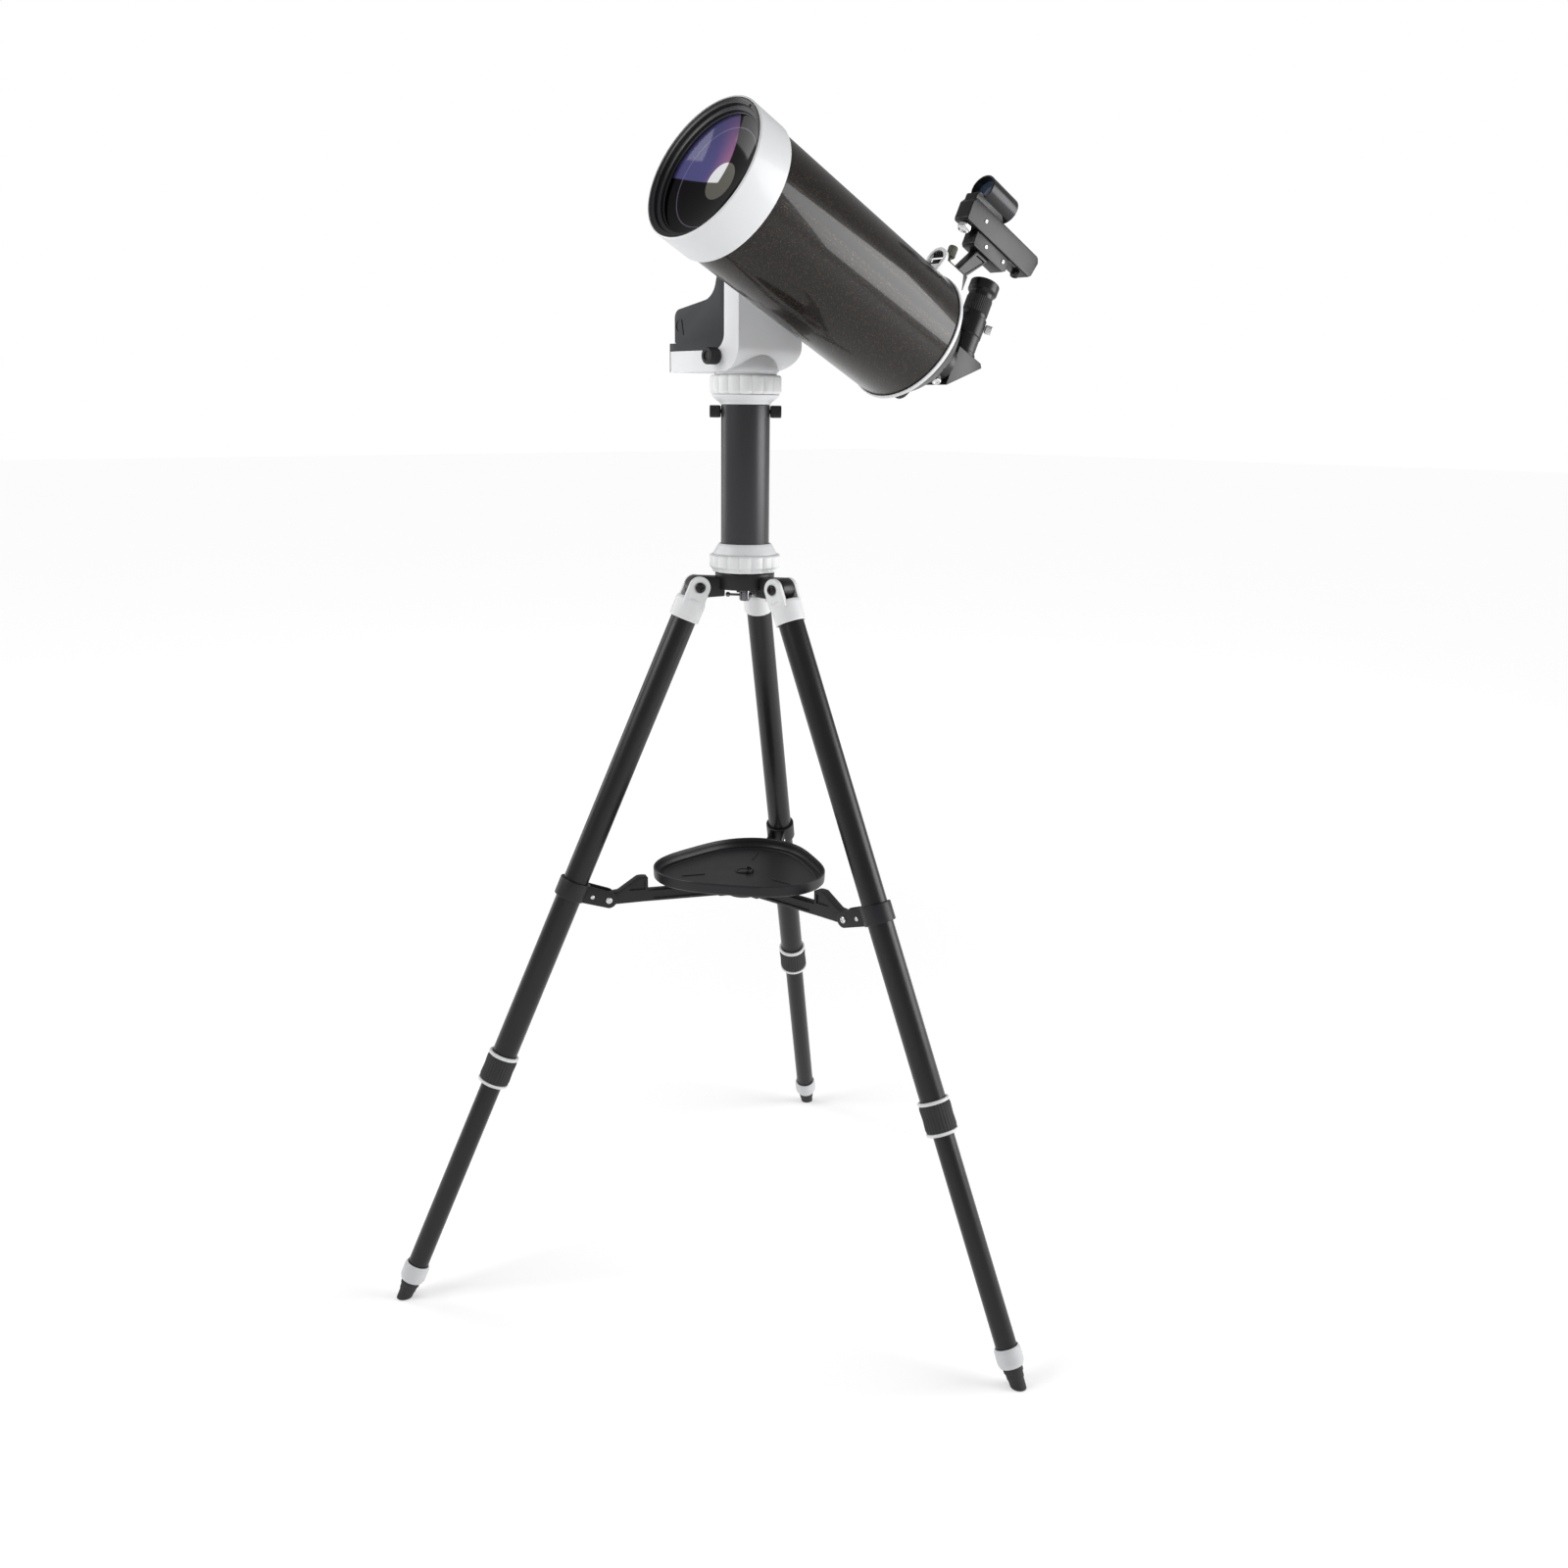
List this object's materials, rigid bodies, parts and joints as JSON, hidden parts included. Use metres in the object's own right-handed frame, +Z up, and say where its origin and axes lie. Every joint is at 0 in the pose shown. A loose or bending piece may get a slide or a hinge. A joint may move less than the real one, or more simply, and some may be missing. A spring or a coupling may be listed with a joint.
{
  "type": "telescope on alt-azimuth tripod",
  "caption": "Closed-tube catadioptric telescope on a motorised single-arm alt-azimuth head, with a pillar, folding tripod, accessory tray, sight finder, diagonal and eyepiece.",
  "frame": {"origin": "on the floor, at the centre of the box round the whole part", "axes": "+Z up; the telescope points along -Y and upwards; +X is the side of the arm the tube hangs on"},
  "size_m": [0.6807, 0.7423, 1.327],
  "materials": {
    "white_paint": "satin",
    "black_satin": "satin",
    "tube_black": "gloss with metallic flecks",
    "pillar_grey": "satin",
    "white_plastic": "satin",
    "slate_plastic": "matt",
    "black_plastic": "satin",
    "rubber": "matt",
    "grey_rubber": "matt",
    "steel": "brushed",
    "dark_chrome": "polished",
    "brass": "machined",
    "glass": "coated",
    "mirror": "polished",
    "aluminium": "cast"
  },
  "bodies": {
    "base": {"tripod_hub": "black_satin", "leg_hinge_bolt_1": "black_satin", "leg_hinge_bolt_2": "black_satin", "leg_hinge_bolt_3": "black_satin", "pillar_lower_flange": "white_paint", "pillar_tube": "pillar_grey", "pillar_upper_flange": "white_paint", "azimuth_axle": "brass"},
    "leg_1": {"leg_bracket_1": "white_plastic", "leg_upper_tube_1": "black_satin"},
    "leg_extension_1": {"leg_lower_tube_1": "black_satin", "leg_foot_1": "grey_rubber"},
    "collar_1": {"leg_twist_collar_1": "rubber"},
    "leg_2": {"leg_bracket_2": "white_plastic", "leg_upper_tube_2": "black_satin"},
    "leg_extension_2": {"leg_lower_tube_2": "black_satin", "leg_foot_2": "grey_rubber"},
    "collar_2": {"leg_twist_collar_2": "rubber"},
    "leg_3": {"leg_bracket_3": "white_plastic", "leg_upper_tube_3": "black_satin"},
    "leg_extension_3": {"leg_lower_tube_3": "black_satin", "leg_foot_3": "grey_rubber"},
    "collar_3": {"leg_twist_collar_3": "rubber"},
    "spreader": {"spreader_hub": "black_plastic"},
    "tray": {"accessory_tray": "black_plastic"},
    "arm_1": {"spreader_arm_1": "black_plastic"},
    "arm_2": {"spreader_arm_2": "black_plastic"},
    "arm_3": {"spreader_arm_3": "black_plastic"},
    "clamp_bolt": {"pillar_clamp_bolt": "dark_chrome"},
    "thumbscrew_right": {"pillar_thumbscrew_right": "black_plastic"},
    "thumbscrew_left": {"pillar_thumbscrew_left": "black_plastic"},
    "azimuth_clutch": {"azimuth_clutch_ring": "white_plastic"},
    "head": {"head_body": "white_paint", "drive_unit": "steel", "battery_pack": "steel"},
    "battery_cover": {"battery_cover": "slate_plastic"},
    "cover_lock": {"cover_lock_screw": "black_plastic"},
    "swing": {"altitude_axle": "brass", "dovetail_saddle": "white_paint"},
    "altitude_clutch": {"altitude_clutch_knob": "white_plastic"},
    "saddle_jaw": {"saddle_jaw": "aluminium"},
    "saddle_knob": {"saddle_clamp_knob": "black_plastic"},
    "ota": {"dovetail_bar": "black_satin", "optical_tube": "tube_black", "front_cell": "white_paint", "corrector_retaining_ring": "black_satin", "corrector_lens": "glass", "rear_cell": "black_satin", "visual_back": "black_satin", "finder_shoe": "white_plastic", "finder_body": "black_plastic"},
    "mirror": {"primary_mirror": "mirror"},
    "focus": {"focus_knob": "black_plastic"},
    "visual_back_screw": {"visual_back_screw": "steel"},
    "diagonal": {"diagonal_housing": "black_plastic", "diagonal_prism": "glass"},
    "eyepiece_screw": {"eyepiece_screw": "steel"},
    "eyepiece": {"eyepiece": "black_plastic"},
    "shoe_screw": {"finder_shoe_screw": "black_plastic"},
    "power_knob": {"finder_power_knob": "black_plastic"}
  },
  "joints": [
    {"name": "leg_fold_1", "type": "hinge", "parent": "base", "child": "leg_1", "pos_m": [-0.03023, 0.02604, 0.84101], "axis": [-0.0976, 0.9952, 0], "range_deg": [0, 6]},
    {"name": "leg_length_1", "type": "slide", "parent": "leg_1", "child": "leg_extension_1", "axis": [0.3946, 0.0387, -0.918], "range_m": [-0.235, 0.22]},
    {"name": "collar_twist_1", "type": "hinge", "parent": "leg_1", "child": "collar_1", "pos_m": [0.21088, 0.04968, 0.28009], "axis": [0.3946, 0.0387, -0.918], "range_deg": [0, 90]},
    {"name": "leg_fold_2", "type": "hinge", "parent": "base", "child": "leg_2", "pos_m": [-0.11983, 0.06668, 0.84101], "axis": [-0.8131, -0.5821, 0], "range_deg": [0, 6]},
    {"name": "leg_length_2", "type": "slide", "parent": "leg_2", "child": "leg_extension_2", "axis": [-0.2308, 0.3224, -0.918], "range_m": [-0.235, 0.22]},
    {"name": "collar_twist_2", "type": "hinge", "parent": "leg_2", "child": "collar_2", "pos_m": [-0.26085, 0.26366, 0.28009], "axis": [-0.2308, 0.3224, -0.918], "range_deg": [0, 90]},
    {"name": "leg_fold_3", "type": "hinge", "parent": "base", "child": "leg_3", "pos_m": [-0.11023, -0.03123, 0.84101], "axis": [0.9107, -0.4131, 0], "range_deg": [0, 6]},
    {"name": "leg_length_3", "type": "slide", "parent": "leg_3", "child": "leg_extension_3", "axis": [-0.1638, -0.3611, -0.918], "range_m": [-0.235, 0.22]},
    {"name": "collar_twist_3", "type": "hinge", "parent": "leg_3", "child": "collar_3", "pos_m": [-0.21031, -0.25186, 0.28009], "axis": [-0.1638, -0.3611, -0.918], "range_deg": [0, 90]},
    {"name": "spreader_lift", "type": "slide", "parent": "base", "child": "spreader", "axis": [0, 0, 1], "range_m": [0, 0.0846]},
    {"name": "tray_twist", "type": "hinge", "parent": "spreader", "child": "tray", "pos_m": [-0.08676, 0.02049, 0.478], "axis": [0, 0, 1], "range_deg": [0, 60]},
    {"name": "arm_fold_1", "type": "hinge", "parent": "spreader", "child": "arm_1", "pos_m": [-0.0569, 0.02342, 0.478], "axis": [-0.0976, 0.9952, 0], "range_deg": [0, 45]},
    {"name": "arm_fold_2", "type": "hinge", "parent": "spreader", "child": "arm_2", "pos_m": [-0.10422, 0.04489, 0.478], "axis": [-0.8131, -0.5821, 0], "range_deg": [0, 45]},
    {"name": "arm_fold_3", "type": "hinge", "parent": "spreader", "child": "arm_3", "pos_m": [-0.09915, -0.00683, 0.478], "axis": [0.9107, -0.4131, 0], "range_deg": [0, 45]},
    {"name": "clamp_bolt_turn", "type": "hinge", "parent": "base", "child": "clamp_bolt", "pos_m": [-0.08676, 0.02049, 0.83], "axis": [0, 0, 1], "range_deg": [0, 360]},
    {"name": "thumbscrew_right_turn", "type": "hinge", "parent": "base", "child": "thumbscrew_right", "pos_m": [-0.06463, 0.04631, 1.03563], "axis": [0.6508, 0.7593, 0], "range_deg": [0, 360]},
    {"name": "thumbscrew_left_turn", "type": "hinge", "parent": "base", "child": "thumbscrew_left", "pos_m": [-0.10889, -0.00532, 1.03563], "axis": [-0.6508, -0.7593, 0], "range_deg": [0, 360]},
    {"name": "azimuth_clutch_turn", "type": "hinge", "parent": "base", "child": "azimuth_clutch", "pos_m": [-0.08676, 0.02049, 1.064], "axis": [0, 0, 1], "range_deg": [0, 90]},
    {"name": "azimuth", "type": "hinge", "parent": "base", "child": "head", "pos_m": [-0.08676, 0.02049, 1.078], "axis": [0, 0, 1], "continuous": true},
    {"name": "battery_cover_slide", "type": "slide", "parent": "head", "child": "battery_cover", "axis": [-1, 0, 0], "range_m": [0, 0.06]},
    {"name": "cover_lock_turn", "type": "hinge", "parent": "head", "child": "cover_lock", "pos_m": [-0.09276, -0.01651, 1.09483], "axis": [0, -1, 0], "range_deg": [0, 360]},
    {"name": "altitude", "type": "hinge", "parent": "head", "child": "swing", "pos_m": [-0.08676, 0.02949, 1.1675], "axis": [-1, 0, 0], "range_deg": [-36, 63]},
    {"name": "altitude_clutch_turn", "type": "hinge", "parent": "swing", "child": "altitude_clutch", "pos_m": [-0.04976, 0.02949, 1.1675], "axis": [1, 0, 0], "range_deg": [0, 90]},
    {"name": "jaw_slide", "type": "slide", "parent": "swing", "child": "saddle_jaw", "axis": [0, 0.4487, 0.8937], "range_m": [0, 0.004]},
    {"name": "saddle_knob_turn", "type": "hinge", "parent": "swing", "child": "saddle_knob", "pos_m": [-0.02926, 0.05193, 1.21218], "axis": [0, 0.4487, 0.8937], "range_deg": [0, 1440]},
    {"name": "balance_slide", "type": "slide", "parent": "swing", "child": "ota", "axis": [0, -0.8937, 0.4487], "range_m": [-0.03, 0.03]},
    {"name": "focus_turn", "type": "hinge", "parent": "ota", "child": "focus", "pos_m": [0.01124, 0.15455, 1.07114], "axis": [0, 0.8937, -0.4487], "range_deg": [-2880, 3600]},
    {"name": "mirror_slide", "type": "slide", "parent": "ota", "child": "mirror", "axis": [0, -0.8937, 0.4487], "range_m": [-0.006, 0.0075]},
    {"name": "visual_back_screw_turn", "type": "hinge", "parent": "ota", "child": "visual_back_screw", "pos_m": [0.06824, 0.16428, 1.07269], "axis": [0.5, -0.3886, -0.774], "range_deg": [0, 360]},
    {"name": "diagonal_swivel", "type": "hinge", "parent": "ota", "child": "diagonal", "pos_m": [0.05424, 0.20644, 1.07866], "axis": [0, -0.8937, 0.4487], "range_deg": [-90, 60]},
    {"name": "eyepiece_screw_turn", "type": "hinge", "parent": "diagonal", "child": "eyepiece_screw", "pos_m": [0.06838, 0.2469, 1.12772], "axis": [0.7071, 0.6319, -0.3173], "range_deg": [0, 360]},
    {"name": "eyepiece_slide", "type": "slide", "parent": "diagonal", "child": "eyepiece", "axis": [0, 0.4487, 0.8937], "range_m": [0, 0.014]},
    {"name": "shoe_screw_turn", "type": "hinge", "parent": "ota", "child": "shoe_screw", "pos_m": [0.04824, 0.20218, 1.20389], "axis": [0, 0.4487, 0.8937], "range_deg": [0, 360]},
    {"name": "power_knob_turn", "type": "hinge", "parent": "ota", "child": "power_knob", "pos_m": [0.05424, 0.21789, 1.2374], "axis": [0, 0.4487, 0.8937], "range_deg": [0, 270]}
  ],
  "couplings": [
    {"joint": "arm_fold_1", "follows": "leg_fold_1", "ratio": 7.5},
    {"joint": "arm_fold_2", "follows": "leg_fold_1", "ratio": 7.5},
    {"joint": "arm_fold_3", "follows": "leg_fold_1", "ratio": 7.5},
    {"joint": "leg_fold_2", "follows": "leg_fold_1", "ratio": 1},
    {"joint": "leg_fold_3", "follows": "leg_fold_1", "ratio": 1},
    {"joint": "spreader_lift", "follows": "leg_fold_1", "m_per_rad": 0.80787},
    {"joint": "jaw_slide", "follows": "saddle_knob_turn", "m_per_rad": 0.00015915},
    {"joint": "focus_turn", "follows": "mirror_slide", "rad_per_m": 8377.6}
  ]
}
